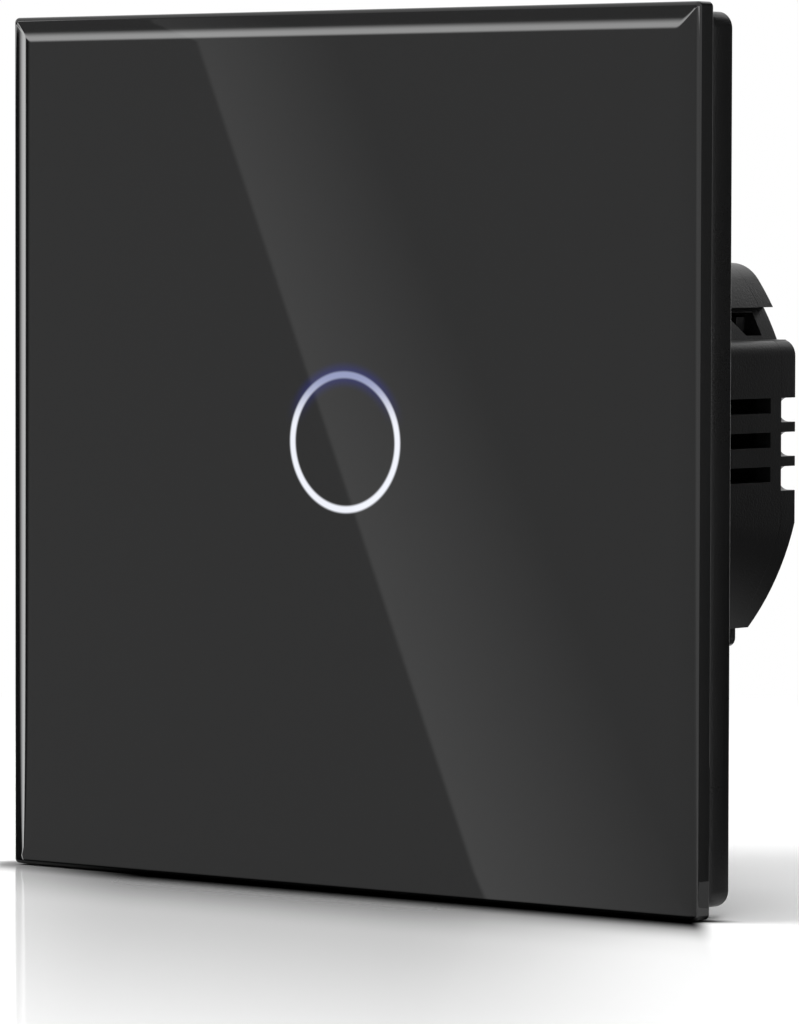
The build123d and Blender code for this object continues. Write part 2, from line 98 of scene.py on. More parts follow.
class Finish:
    """A material under construction: its shader's own values first, then what varies."""

    def __init__(self, name, colour, tree=None, **own_values):
        if tree:
            self.tree = tree
        else:
            self.material = bpy.data.materials.new(name)
            self.material.use_nodes = True
            self.material.diffuse_color = (*colour, 1)
            self.tree = self.material.node_tree
            self.shader = self.tree.nodes["Principled BSDF"]
            self.shader.inputs["Base Color"].default_value = (*colour, 1)
        for socket, value in own_values.items():
            self.shader.inputs[socket.replace("_", " ")].default_value = value
        self.place = self.node("ShaderNodeTexCoord", output="Object")

    def node(self, kind, settings=(), inputs=(), output=0):
        """Adds a node with its settings, then the values or links of its sockets."""
        made = self.tree.nodes.new(kind)
        for setting, value in dict(settings).items():
            setattr(made, setting, value)
        for socket, value in dict(inputs).items():
            if isinstance(value, Term):
                self.tree.links.new(value.socket, made.inputs[socket])
            elif isinstance(value, tuple) and len(value) == 3 and made.inputs[socket].type == "RGBA":
                made.inputs[socket].default_value = (*value, 1)
            else:
                made.inputs[socket].default_value = value
        return Term(self, made.outputs[output])

    def feed(self, socket, term):
        self.tree.links.new(term.socket, self.shader.inputs[socket])

    def plain(self):
        """The shader itself, to be mixed with another."""
        return Term(self, self.shader.outputs[0])

    def output(self, term):
        self.tree.links.new(term.socket, self.tree.nodes["Material Output"].inputs["Surface"])

    def axis(self, name):
        """One object coordinate in millimetres."""
        return self.node("ShaderNodeSeparateXYZ", inputs={0: self.place}, output=name) * 1000

    def stretched(self, stretch):
        """The place on the object, multiplied along each axis."""
        return self.node(
            "ShaderNodeVectorMath", {"operation": "MULTIPLY"}, {0: self.place, 1: stretch})

    def noise(self, grain, detail=2.0, stretch=(1, 1, 1)):
        """Cloudy noise from 0 to 1 whose blotches are about this many millimetres wide."""
        return self.node("ShaderNodeTexNoise", {}, {
            "Vector": self.stretched(stretch), "Scale": 1000 / grain, "Detail": detail})

    def cells(self, grain, feature="F1", output="Distance", stretch=(1, 1, 1)):
        """Cells about this many millimetres wide."""
        return self.node("ShaderNodeTexVoronoi", {"feature": feature}, {
            "Vector": self.stretched(stretch), "Scale": 1000 / grain}, output)

    def blend(self, mask, first, second):
        """The first colour where mask is 0, the second where it is 1."""
        return self.node("ShaderNodeMix", {"data_type": "RGBA"}, {0: mask, 6: first, 7: second}, 2)

    def relief(self, height, depth):
        """Bump from height, whose full swing from 0 to 1 is depth millimetres."""
        self.feed("Normal", self.node("ShaderNodeBump", {}, {
            "Height": height, "Strength": 1.0, "Distance": depth / 1000}, "Normal"))


def dress(node, finish):
    """Gives a CAD node its finish."""
    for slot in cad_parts[node].material_slots:
        slot.material = finish.material


def soften(node, width):
    """Rounds a CAD node's sharp edges by this many millimetres, as a mould or a press does."""
    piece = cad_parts[node]
    weld = piece.modifiers.new("weld", "WELD")
    weld.merge_threshold = 1e-6
    flat = piece.modifiers.new("flat", "DECIMATE")
    flat.decimate_type = "DISSOLVE"
    flat.angle_limit = math.radians(0.4)
    edge = piece.modifiers.new("edge", "BEVEL")
    edge.width = width / 1000
    edge.segments = 2
    edge.limit_method = "ANGLE"
    edge.angle_limit = math.radians(35)
    edge.use_clamp_overlap = True
    shade = piece.modifiers.new("shade", "WEIGHTED_NORMAL")
    shade.keep_sharp = False
    shade.weight = 100


def moulded_plastic(name, colour, grain, rough, depth, shine=0.5):
    """Plastic from an eroded mould: fine even grain, and faint flow clouds in how rough it is."""
    finish = Finish(name, colour, IOR=1.5, Specular_IOR_Level=shine)
    speckle = finish.noise(grain, 3)
    clouds = finish.noise(grain * 40, 3)
    lighter = tuple(1.5 * part + 0.0015 for part in colour)
    pale = speckle.rise(0.35, 0.75) * 0.5 + clouds * 0.3
    finish.feed("Base Color", finish.blend(pale, colour, lighter))
    finish.feed("Roughness", rough[0] + (rough[1] - rough[0]) * (clouds * 0.6 + speckle * 0.4))
    finish.relief(speckle, depth)
    return finish


housing_black = moulded_plastic(
    "housing_black", (0.0038, 0.0038, 0.004), grain=0.22, rough=(0.26, 0.42), depth=0.03, shine=0.42)
for node in ("rear_housing", "rear_cover"):
    dress(node, housing_black)
    soften(node, 0.2)


# Power board and touch board: fibreglass laminate with copper tracks under green solder mask.
# The power board rests in the rear housing, and the solder joints of its parts show on its
# rear. The touch board is held in front of it by the boss of the front cover.
track_pitch = 1.1
track_stretch = 4
board_green = Finish("board_green", (0.006, 0.06, 0.026), IOR=1.52)
lanes = [
    board_green.cells(track_pitch * track_stretch, "DISTANCE_TO_EDGE", stretch=stretch).rise(0.05, 0.09)
    for stretch in ((1, 1, track_stretch), (track_stretch, 1, 1))]
tracks = lanes[0] * lanes[1]
weave = board_green.noise(0.5, 1)
mask_green = board_green.blend(tracks, (0.005, 0.045, 0.02), (0.014, 0.13, 0.055))
board_green.feed("Base Color", board_green.blend(weave * 0.25, mask_green, (0.02, 0.1, 0.05)))
board_green.feed("Roughness", 0.22 + weave * 0.18)
board_green.relief(tracks + weave * 0.2, 0.035)
dress("power_board", board_green)
dress("touch_board", board_green)


def skin(build, rings):
    """Joins rings of points, one after the other, into a skin that is closed at both ends."""
    for first, second in zip(rings, rings[1:]):
        for step in range(len(first)):
            after = (step + 1) % len(first)
            build.faces.new((first[step], first[after], second[after], second[step]))
    build.faces.new(rings[0][::-1])
    build.faces.new(rings[-1])


def turned(build, profile, place, steps=12):
    """Adds a round form along Y to a mesh: radius and depth pairs round a place, in millimetres."""
    x, z = place
    angles = [2 * math.pi * step / steps for step in range(steps)]
    skin(build, [
        [build.verts.new((
            (x + radius * math.cos(angle)) / 1000, depth / 1000,
            (z + radius * math.sin(angle)) / 1000)) for angle in angles]
        for radius, depth in profile])


def placed(name, data):
    """Puts a mesh, a curve, a lamp or a camera in the scene under this name."""
    thing = bpy.data.objects.new(name, data)
    bpy.context.scene.collection.objects.link(thing)
    return thing


def piece_from(build, name, finish, body="base"):
    """Turns a finished mesh into a piece that rides on a body."""
    bmesh.ops.recalc_face_normals(build, faces=build.faces)
    mesh = bpy.data.meshes.new(name)
    build.to_mesh(mesh)
    build.free()
    mesh.polygons.foreach_set("use_smooth", [True] * len(mesh.polygons))
    mesh.set_sharp_from_angle(angle=math.radians(40))
    mesh.materials.append(finish.material)
    piece = placed(name, mesh)
    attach(piece, body)


tin = Finish("tin", (0.66, 0.66, 0.64), Metallic=1.0)
tin_cloud = tin.noise(0.7, 3)
tin.feed("Base Color", tin.blend(tin_cloud.rise(0.4, 0.7), (0.7, 0.7, 0.69), (0.5, 0.5, 0.48)))
tin.feed("Roughness", 0.18 + tin_cloud * 0.25)
tin.relief(tin_cloud, 0.02)
power_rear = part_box("power_board")[1].y * 1000
joint_profile = ((1.05, 0), (0.9, 0.12), (0.6, 0.34), (0.42, 0.7), (0.36, 0.95), (0.1, 1.02))
joint_places = (
    (-18.5, -1), (-18.5, 5.6), (-3.5, -1), (-3.5, 5.6), (-11, 2.3), (11, 6.5), (16, 6.5),
    (4.8, -4.7), (15.2, -4.7), (-17, -9.5), (-16.5, -13.5), (19.4, -3), (21.8, -3), (19.4, -5.6),
    (21.8, -5.6), (16.5, -9), (16.5, -13))
build = bmesh.new()
for place in joint_places:
    turned(build, [(radius, power_rear + depth) for radius, depth in joint_profile], place)
piece_from(build, "power_board_joints", tin)


# Relay: it switches the load. Its sealed case is moulded in glossy blue plastic, and it is
# soldered to the front of the power board, as the parts of the next five sections are.
def dipped(name, colour, deeper, mottle, rough, depth):
    """A coated or moulded part: soft colour clouds and a skin that is not quite even."""
    finish = Finish(name, colour, IOR=1.5, Coat_Weight=0.3, Coat_Roughness=0.12)
    clouds = finish.noise(mottle, 3)
    speck = finish.noise(mottle * 0.12, 2)
    finish.feed("Base Color", finish.blend(clouds * 0.6 + speck * 0.3, colour, deeper))
    finish.feed("Roughness", rough + clouds * 0.15 + speck * 0.08)
    finish.relief(clouds * 0.7 + speck * 0.3, depth)
    return finish


dress("relay", dipped(
    "relay_blue", (0.03, 0.13, 0.36), (0.015, 0.07, 0.24), mottle=3, rough=0.28, depth=0.03))
soften("relay", 0.25)


# Film capacitor: a box of yellow plastic in which the wound film is sealed with resin. It drops
# the mains voltage for the electronics.
dress("film_capacitor", dipped(
    "film_capacitor_yellow", (0.78, 0.5, 0.05), (0.62, 0.36, 0.03),
    mottle=2.5, rough=0.34, depth=0.03))
soften("film_capacitor", 0.25)


# Varistor: a ceramic disc dipped in blue epoxy, thicker where it ran down, on two tinned leads.
# It takes up the surges of the mains.
varistor_lead_length = 1.2
varistor_blue = dipped(
    "varistor_blue", (0.04, 0.17, 0.46), (0.02, 0.09, 0.3), mottle=1.6, rough=0.16, depth=0.09)
disc_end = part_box("varistor")[1].y * 1000 - varistor_lead_length
varistor_blue.feed("Metallic", varistor_blue.axis("Y").rise(disc_end - 0.1, disc_end + 0.1))
dress("varistor", varistor_blue)


# Electrolytic capacitor: an aluminium can in a dark shrunk sleeve with a pale stripe. The bare
# end of the can is scored with a cross, where it opens if it bursts.
sleeve_dark = (0.02, 0.022, 0.045)
bare_radius = 4.0
bare_depth = 0.3
stripe_half = 1.3
score_half = 0.12
can_low, can_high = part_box("electrolytic_capacitor")
can_x = (can_low.x + can_high.x) * 500
can_z = (can_low.z + can_high.z) * 500
can_front = can_low.y * 1000
sleeve = Finish("capacitor_sleeve", sleeve_dark, IOR=1.5)
beside_can = sleeve.axis("X") - can_x
above_can = sleeve.axis("Z") - can_z
can_reach = (beside_can ** 2 + above_can ** 2) ** 0.5
bare_face = (sleeve.axis("Y") - can_front).rise(bare_depth, bare_depth + 0.2, 1, 0)
bare = can_reach.rise(bare_radius, bare_radius + 0.15, 1, 0) * bare_face
stripe = abs(beside_can).rise(stripe_half, stripe_half + 0.1, 1, 0) * above_can.rise(0, 0.2)
wrinkle = sleeve.noise(1.4, 3)
sleeve_colour = sleeve.blend(stripe, sleeve_dark, (0.45, 0.46, 0.5))
sleeve.feed("Base Color", sleeve.blend(bare, sleeve_colour, (0.7, 0.71, 0.73)))
sleeve.feed("Metallic", bare)
sleeve.feed("Roughness", 0.3 + wrinkle * 0.15)
score = abs(beside_can).lower(abs(above_can)).rise(score_half, score_half + 0.16, 1, 0) * bare
sleeve.relief(wrinkle * 0.4 - score, 0.08)
dress("electrolytic_capacitor", sleeve)


# Inductor: a ferrite bobbin wound with two layers of enamelled copper wire. One wire goes along
# the bobbin's core, and comes back in a second layer that lies in the grooves of the first.
ferrite = Finish("ferrite", (0.03, 0.029, 0.028), IOR=1.6)
pores = ferrite.cells(0.18)
ferrite.feed("Base Color", ferrite.blend(pores, (0.022, 0.021, 0.021), (0.06, 0.058, 0.056)))
ferrite.feed("Roughness", 0.5 + pores * 0.3)
ferrite.relief(pores, 0.02)
dress("inductor", ferrite)
soften("inductor", 0.15)
bobbin_low, bobbin_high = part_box("inductor")
bobbin_x = (bobbin_low.x + bobbin_high.x) / 2
bobbin_z = (bobbin_low.z + bobbin_high.z) / 2
flange = 0.0013
core_radius = 0.0025
copper_radius = 0.00017
layer_step = 1.75
turn_steps = 20
winding_start = bobbin_low.y + flange + copper_radius
winding_length = bobbin_high.y - bobbin_low.y - 2 * flange - 2 * copper_radius
turns = int(winding_length / (2 * copper_radius))
copper = Finish(
    "winding_copper", (0.6, 0.22, 0.08), Metallic=1.0, Coat_Weight=0.6, Coat_Roughness=0.1)
lacquer = copper.noise(0.8, 2)
copper.feed("Base Color", copper.blend(lacquer, (0.66, 0.26, 0.09), (0.42, 0.13, 0.05)))
copper.feed("Roughness", 0.2 + lacquer * 0.12)
winding_line = bpy.data.curves.new("inductor_winding", "CURVE")
winding_line.dimensions = "3D"
winding_line.bevel_depth = copper_radius
winding_line.bevel_resolution = 1
winding_line.use_fill_caps = True
for layer in range(2):
    steps = turns * turn_steps
    radius = core_radius + copper_radius * (1 + layer_step * layer)
    spline = winding_line.splines.new("POLY")
    spline.points.add(steps)
    for step in range(steps + 1):
        angle = 2 * math.pi * step / turn_steps
        share = step / steps if layer == 0 else 1 - step / steps
        spline.points[step].co = (
            bobbin_x + radius * math.cos(angle), winding_start + share * winding_length,
            bobbin_z + radius * math.sin(angle), 1)
winding_line.materials.append(copper.material)
winding = placed("inductor_winding", winding_line)
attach(winding, "base")


# Fuse resistor: a film resistor lacquered green, with rings that give its value and tinned
# leads. It protects the board and burns out before anything else does.
fuse_lacquer = (0.07, 0.24, 0.13)
fuse_lead_length = 0.75
band_half = 0.35
band_places = (-2.4, -1.2, 0, 2.2)
fuse_low, fuse_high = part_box("fuse_resistor")
fuse_middle = (fuse_low.x + fuse_high.x) * 500
lead_start = (fuse_high.x - fuse_low.x) * 500 - fuse_lead_length
fuse = Finish("fuse_green", fuse_lacquer, IOR=1.5)
from_centre = fuse.axis("X") - fuse_middle
bands = sum(
    abs(from_centre - spot).rise(band_half, band_half + 0.06, 1, 0) for spot in band_places)
fuse_skin = fuse.noise(0.9, 2)
fuse_lead = abs(from_centre).rise(lead_start, lead_start + 0.05)
fuse_colour = fuse.blend(bands.lower(1), fuse_lacquer, (0.16, 0.06, 0.02))
fuse.feed("Base Color", fuse.blend(fuse_lead, fuse_colour, (0.66, 0.66, 0.64)))
fuse.feed("Metallic", fuse_lead)
fuse.feed("Roughness", 0.3 + fuse_skin * 0.2)
fuse.relief(fuse_skin, 0.04)
dress("fuse_resistor", fuse)


# Rectifier, touch chip, pin header and socket: black moulded resin. The header's gilt pins hang
# from the touch board and plug into the socket on the power board.
resin_dark = (0.016, 0.016, 0.017)
header_body = 2.5


def moulded_resin(name):
    """Fine matt resin, paler and duller than the housing."""
    return moulded_plastic(name, resin_dark, grain=0.12, rough=(0.45, 0.62), depth=0.015)


resin = moulded_resin("resin_black")
for node in ("rectifier", "touch_chip", "header_socket"):
    dress(node, resin)
    soften(node, 0.12)
header_resin = moulded_resin("header_resin")
pins_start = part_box("pin_header")[0].y * 1000 + header_body
gilt = header_resin.axis("Y").rise(pins_start - 0.03, pins_start + 0.03)
header_resin.feed("Base Color", header_resin.blend(gilt, resin_dark, (0.83, 0.62, 0.28)))
header_resin.feed("Metallic", gilt)
dress("pin_header", header_resin)


# Terminal block: one moulding in grey glass-filled polyamide, which stands the heat of a clamped
# wire. It is held between the power board and the rear cover.
terminal_grey = moulded_plastic(
    "terminal_grey", (0.2, 0.205, 0.21), grain=0.16, rough=(0.4, 0.6), depth=0.02)
dress("terminal_block", terminal_grey)
soften("terminal_block", 0.15)


# Terminals: a zinc-plated steel screw draws each steel cage to the rear, which presses the wire
# on a brass contact bar. The legs of the bars stand on the power board.
def plated_metal(name, colour, darker, grain, rough):
    """Bright plating over pressed steel: spangled crystals, fine scratches, a little tarnish."""
    finish = Finish(name, colour, Metallic=1.0)
    clouds = finish.noise(grain * 20, 3)
    crystals = finish.cells(grain * 4, output="Color")
    spangle = finish.node("ShaderNodeSeparateColor", inputs={0: crystals}, output=0)
    scratches = finish.noise(grain, 4, (1, 8, 1))
    tarnish = clouds.rise(0.3, 0.75) * 0.5 + spangle * 0.3
    finish.feed("Base Color", finish.blend(tarnish, colour, darker))
    finish.feed("Roughness", rough[0] + (rough[1] - rough[0]) * (spangle * 0.5 + scratches * 0.5))
    finish.relief(scratches, 0.006)
    return finish


zinc = plated_metal("zinc", (0.72, 0.73, 0.75), (0.56, 0.57, 0.6), grain=0.3, rough=(0.26, 0.46))
brass = plated_metal("brass", (0.82, 0.6, 0.28), (0.62, 0.43, 0.2), grain=0.3, rough=(0.2, 0.4))
dress("contact_bars", brass)
soften("contact_bars", 0.08)
for number in (1, 2, 3):
    dress(f"terminal_screw_{number}", zinc)
    dress(f"clamp_cage_{number}", zinc)
    soften(f"terminal_screw_{number}", 0.08)
    soften(f"clamp_cage_{number}", 0.1)


# Touch board parts: four side lamps with yellow phosphor windows under the light guide, the
# tinned legs of the touch chip, and small chip resistors soldered round it.
lamp_white = (0.82, 0.82, 0.8)
lamp_circle_z = 0.9
lamp_circle_radius = 6.55
lamp_front = 1.33
lamps = Finish("lamp_white", lamp_white, IOR=1.5)
lamp_x = lamps.axis("X")
lamp_z = lamps.axis("Z") - lamp_circle_z
lamp_ring = abs((lamp_x ** 2 + lamp_z ** 2) ** 0.5 - lamp_circle_radius)
window = lamp_ring.rise(0.2, 0.28, 1, 0) * (lamps.axis("Y") - lamp_front).rise(0, 0.05, 1, 0)
phosphor = lamps.noise(0.3, 2)
lamp_yellow = lamps.blend(phosphor, (0.85, 0.72, 0.2), (0.7, 0.56, 0.12))
lamps.feed("Base Color", lamps.blend(window, lamp_white, lamp_yellow))
lamps.feed("Roughness", 0.3 + phosphor * 0.2)
dress("indicator_leds", lamps)
soften("indicator_leds", 0.06)

touch_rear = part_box("touch_board")[1].y * 1000
chip_low, chip_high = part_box("touch_chip")
chip_x = (chip_low.x + chip_high.x) * 500
chip_half = (chip_high.x - chip_low.x) * 500
legs_per_side = 7
leg_pitch = 0.65
leg_width = 0.28
leg_thickness = 0.15
# The line of a leg: millimetres out from the chip's side, and off the board.
leg_line = ((-0.05, 0.6), (0.25, 0.6), (0.4, 0.05), (0.75, 0.02))


def chip_leg(build, z, side):
    """Adds one bent leg of the touch chip to a mesh, at this height on its left or right."""
    half = leg_width / 2
    skin(build, [
        [build.verts.new((
            (chip_x + side * (chip_half + out)) / 1000, (touch_rear + off + lift) / 1000,
            (z + across) / 1000))
         for lift, across in ((0, -half), (0, half), (leg_thickness, half), (leg_thickness, -half))]
        for out, off in leg_line])


build = bmesh.new()
for side in (-1, 1):
    for index in range(legs_per_side):
        chip_leg(build, (index - (legs_per_side - 1) / 2) * leg_pitch, side)
piece_from(build, "touch_chip_legs", tin)

chips = Finish("chip_resistors", (0.02, 0.02, 0.022), IOR=1.5)
chip_speck = chips.noise(0.1, 2)
chips.feed("Base Color", chips.blend(chip_speck, (0.012, 0.012, 0.014), (0.05, 0.05, 0.055)))
chips.feed("Roughness", 0.35 + chip_speck * 0.3)
chips.relief(chip_speck, 0.01)
resistor_places = (
    (-3.2, 3.4), (-3.2, 1.6), (-3.2, -0.2), (-3.2, -2.0), (2.5, 5.2), (2.5, 3.2), (5.5, -4.4),
    (8.2, -4.4), (10.9, -4.4), (12.5, 4.6), (15.5, 4.6), (-14.4, 4.6), (-14.4, -4.6))
resistor_half_width = 0.4
resistor_height = 0.42
resistor_sunk = 0.01
resistor_worn_edge = 0.06
resistor_body = ((-0.62, 0.62),)
resistor_ends = ((-0.8, -0.5), (0.5, 0.8))
ends_proud = 0.03


def rounded_block(build, low, high, edge):
    """Adds a small block with worn edges to a mesh, between two corners in millimetres."""
    made = bmesh.ops.create_cube(build, size=1)["verts"]
    for vertex in made:
        vertex.co = Vector([
            (low[axis] + (high[axis] - low[axis]) * (vertex.co[axis] + 0.5)) / 1000
            for axis in range(3)])
    edges = dict.fromkeys(link for vertex in made for link in vertex.link_edges)
    bmesh.ops.bevel(
        build, geom=list(edges), offset=edge / 1000, segments=2, affect="EDGES", profile=0.5)


for name, finish, slot, spans, proud in (
        ("chip_resistors", chips, "chip_black", resistor_body, 0.0),
        ("chip_resistor_ends", tin, "zinc_steel", resistor_ends, ends_proud)):
    build = bmesh.new()
    for x, z in resistor_places:
        for start, stop in spans:
            half = resistor_half_width + proud
            rounded_block(
                build, (x + start, touch_rear - resistor_sunk, z - half),
                (x + stop, touch_rear + resistor_height + proud, z + half), resistor_worn_edge)
    piece_from(build, name, finish)


# Mounting plate: pressed from zinc-plated sheet steel, with two bent lips that stiffen it. The
# housing screws clamp it between the front cover and the housing.
for node, edge in (("mounting_plate", 0.15), ("housing_screws", 0.1)):
    dress(node, zinc)
    soften(node, edge)


# Front cover: a round cap with flats, moulded in black plastic like the housing's. The screws
# hold it over the mounting plate, and its boss carries the touch board.
cover_black = moulded_plastic(
    "cover_black", (0.008, 0.008, 0.0083), grain=0.2, rough=(0.36, 0.54), depth=0.03)
dress("front_cover", cover_black)
soften("front_cover", 0.2)


# Light guide and touch spring: a clear acrylic ring, faintly frosted where it scatters the
# lamps' light, and the plated wire coil that touches the back of the glass.
guide = Finish("guide_clear", (0.86, 0.89, 0.92), IOR=1.49, Transmission_Weight=0.6)
frost = guide.noise(0.25, 3)
guide.feed("Roughness", 0.12 + frost * 0.3)
guide.feed("Base Color", guide.blend(frost, (0.88, 0.91, 0.94), (0.76, 0.8, 0.86)))
guide.relief(frost, 0.01)
dress("light_guide", guide)
soften("light_guide", 0.08)
wire = Finish("spring_wire", (0.78, 0.76, 0.7), Metallic=1.0)
drawn = wire.noise(0.12, 3, (1, 6, 1))
wire.feed("Base Color", wire.blend(drawn, (0.82, 0.8, 0.74), (0.6, 0.58, 0.52)))
wire.feed("Roughness", 0.16 + drawn * 0.2)
dress("touch_spring", wire)


# Panel frame: a shallow tray moulded in black plastic, smoother than the housing. It is taped to
# the back of the glass, and four clip arms hold it on the mounting plate.
frame_black = moulded_plastic(
    "frame_black", (0.0018, 0.0018, 0.0019), grain=0.2, rough=(0.22, 0.36), depth=0.025, shine=0.34)
dress("panel_frame", frame_black)
soften("panel_frame", 0.28)


# Tape: a square ring cut from black closed-cell foam, sticky on both sides. It holds the glass
# on the frame.
foam = Finish("foam", (0.02, 0.02, 0.021), IOR=1.45)
bubbles = foam.cells(0.16)
foam_skin = bubbles.rise(0.1, 0.6)
foam.feed("Base Color", foam.blend(foam_skin, (0.012, 0.012, 0.013), (0.04, 0.04, 0.042)))
foam.feed("Roughness", 0.8 + bubbles * 0.18)
foam.relief(bubbles, 0.05)
dress("adhesive_tape", foam)


# Glass pane: one sheet of black-backed glass, ground and polished to a shallow facet round its
# front. A ring is left clear in the black print, and the lamps behind light it. Here that light is
# painted as glow on the pane's front.
pane_half = 0.043
pane_front = -0.0069
pane_back = -0.0044
pane_corner = 0.0005
pane_least_corner = 0.0003
pane_corner_steps = 8
facet_inset = 0.0008
facet_end = 0.0028
facet_tilt = math.radians(5)
facet_steps = 12
arris_radius = 0.00055
arris_steps = 6
back_arris = 0.00025
back_arris_bow = 0.3


def pane_profile():
    """Inset, depth and tilt of the pane's skin from the middle of its back to its front."""
    arc = facet_end - facet_inset
    facet_back = pane_front + arc * math.tan(facet_tilt / 2) + facet_inset * math.tan(facet_tilt)
    bow = back_arris * back_arris_bow
    lines = [
        (back_arris, pane_back, math.pi), (bow, pane_back - bow, math.radians(135)),
        (0, pane_back - back_arris, math.radians(90))]
    middle_back = facet_back + arris_radius * math.tan(math.pi / 4 - facet_tilt / 2)
    for step in range(arris_steps + 1):
        tilt = math.pi / 2 + (facet_tilt - math.pi / 2) * step / arris_steps
        lines.append((
            arris_radius * (1 - math.sin(tilt)), middle_back - arris_radius * math.cos(tilt), tilt))
    for step in range(facet_steps + 1):
        share = step / facet_steps
        left = arc * (1 - share)
        depth = pane_front + left * math.tan(facet_tilt * (1 - share) / 2)
        lines.append((facet_end - left, depth, facet_tilt * (1 - share)))
    return lines


def pane_outline(inset):
    """Points and outward directions of the pane's outline, this far in from its edge."""
    radius = max(pane_corner - inset, pane_least_corner)
    middle = pane_half - inset - radius
    points = []
    for quarter, (right, top) in enumerate(((1, 1), (-1, 1), (-1, -1), (1, -1))):
        for step in range(pane_corner_steps + 1):
            angle = math.pi / 2 * (quarter + step / pane_corner_steps)
            across, up = math.cos(angle), math.sin(angle)
            points.append((right * middle + radius * across, top * middle + radius * up, across, up))
    return points


build = bmesh.new()
rings = []
normals = []
for inset, depth, tilt in pane_profile():
    outline = pane_outline(inset)
    rings.append([build.verts.new((x, depth, z)) for x, z, across, up in outline])
    for x, z, across, up in outline:
        normals.append((across * math.sin(tilt), -math.cos(tilt), up * math.sin(tilt)))
skin(build, rings)
bmesh.ops.recalc_face_normals(build, faces=build.faces)
pane_mesh = bpy.data.meshes.new("glass_pane")
build.to_mesh(pane_mesh)
build.free()
pane_mesh.polygons.foreach_set("use_smooth", [True] * len(pane_mesh.polygons))
pane_mesh.normals_split_custom_set_from_vertices(normals)
glass_pane = placed("glass_pane", pane_mesh)

ring_x = 0.64
ring_z = 0.95
ring_radius = 6.57
ring_half_line = 0.38
glow_width = 1.5
black = (0, 0, 0)
glass_black = Finish(
    "glass_black", (0.003, 0.0031, 0.0032), IOR=1.52, Roughness=0.02, Emission_Strength=1.0)
# Painted glow: the lit ring, bluer towards its top with a blue halo there, is emission on the pane's
# front.
from_x = glass_black.axis("X") - ring_x
from_z = glass_black.axis("Z") - ring_z
off_line = abs((from_x ** 2 + from_z ** 2) ** 0.5 - ring_radius)
line = off_line.rise(ring_half_line - 0.2, ring_half_line + 0.1, 1, 0)
upper = (from_z / ring_radius).rise(0.2, 1.0)
glow = off_line.rise(0, glow_width, 1, 0) * upper * (1 - line)
line_colour = glass_black.blend(upper, (0.86, 0.88, 0.95), (0.27, 0.3, 0.5))
halo_colour = glass_black.blend(glow, black, (0.0, 0.003, 0.1))
lit = glass_black.blend(line, halo_colour, line_colour)
front_face = pane_front * 1000
on_front = glass_black.axis("Y").rise(front_face + 0.1, front_face + 0.3, 1, 0)
glass_black.feed("Emission Color", glass_black.blend(on_front, black, lit))
pane_mesh.materials.append(glass_black.material)
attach(glass_pane, "panel")
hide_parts("glass_panel")


# Floor: a white glossy table top, which turns into the white of the room away from the switch.
# It mirrors the pane most at its foot, and less to the right and towards the sides. At the foot
# its mirror is painted black and turns white over a few millimetres: a painted contact shadow.
floor_z = -0.04315
floor_half = 3.0
floor_mesh = bpy.data.meshes.new("floor")
floor_mesh.from_pydata(
    [(-floor_half, -floor_half, floor_z), (floor_half, -floor_half, floor_z),
     (floor_half, floor_half, floor_z), (-floor_half, floor_half, floor_z)], [], [(0, 1, 2, 3)])
floor = placed("floor", floor_mesh)
white = (1, 1, 1)
floor_white = Finish("floor_white", (0.9, 0.9, 0.9), Roughness=0.8, Specular_IOR_Level=0.0)


def looked_at(finish):
    """1 where the eye looks, also by way of a mirror or through clear plastic, 0 where light does."""
    by_eye, by_mirror, through_clear = (
        finish.node("ShaderNodeLightPath", output=name)
        for name in ("Is Camera Ray", "Is Glossy Ray", "Is Transmission Ray"))
    return by_eye.higher(by_mirror).higher(through_clear)


# Where the white of the room begins and is full, the reach and share of the mirror's fades, and
# where it ends: behind the panel, and towards the left and the right, in millimetres.
room_start, room_end = 110, 320
mirror_fades = ((200, 0.5), (26, 0.3), (6, 0.2))
mirror_behind = (-4.4, -2)
mirror_left = (-46, -25)
mirror_left_end = (-48, -44)
mirror_right = (5, 44)
mirror_right_end = (42.6, 45.6)
mirror_left_share = 0.75
mirror_right_loss = 0.65
mirror_roughness = 0.06
# How far the painted contact shadow at the pane's foot reaches, in millimetres.
painted_contact_shade_width = 7
sight_slant = 0.81
east = floor_white.axis("X")
north = floor_white.axis("Y")
distance = (east ** 2 + north ** 2) ** 0.5
ahead = abs(north - 500 * (pane_front + pane_back)) - 500 * (pane_back - pane_front)
away = (distance.rise(room_start, room_end) + ahead.rise(0, 60, 0, 0.2)).lower(1)
room_white = floor_white.node("ShaderNodeEmission", {}, {"Color": white, "Strength": 1.0})
matt = floor_white.node("ShaderNodeMixShader", {}, {
    0: away * looked_at(floor_white), 1: floor_white.plain(), 2: room_white})
along = east - ahead * sight_slant
strength = sum(ahead.rise(0, reach, share, 0) for reach, share in mirror_fades)
strength = strength * north.rise(*mirror_behind, 1, 0)
strength = strength * (1 - along.rise(*mirror_right, 0, mirror_right_loss) * ahead.rise(0, 14))
strength = strength * along.rise(*mirror_left, mirror_left_share, 1)
strength = strength * along.rise(*mirror_right_end, 1, 0) * along.rise(*mirror_left_end)
# Painted contact shadow: the mirror is black at the pane's foot and white from a few millimetres out.
painted_contact_shade = ahead.higher(abs(east) - 1000 * pane_half).rise(0, painted_contact_shade_width)
mirror = floor_white.node("ShaderNodeBsdfGlossy", {}, {
    "Color": floor_white.blend(painted_contact_shade, black, white), "Roughness": mirror_roughness})
floor_white.output(floor_white.node("ShaderNodeMixShader", {}, {0: strength, 1: matt, 2: mirror}))
floor_mesh.materials.append(floor_white.material)


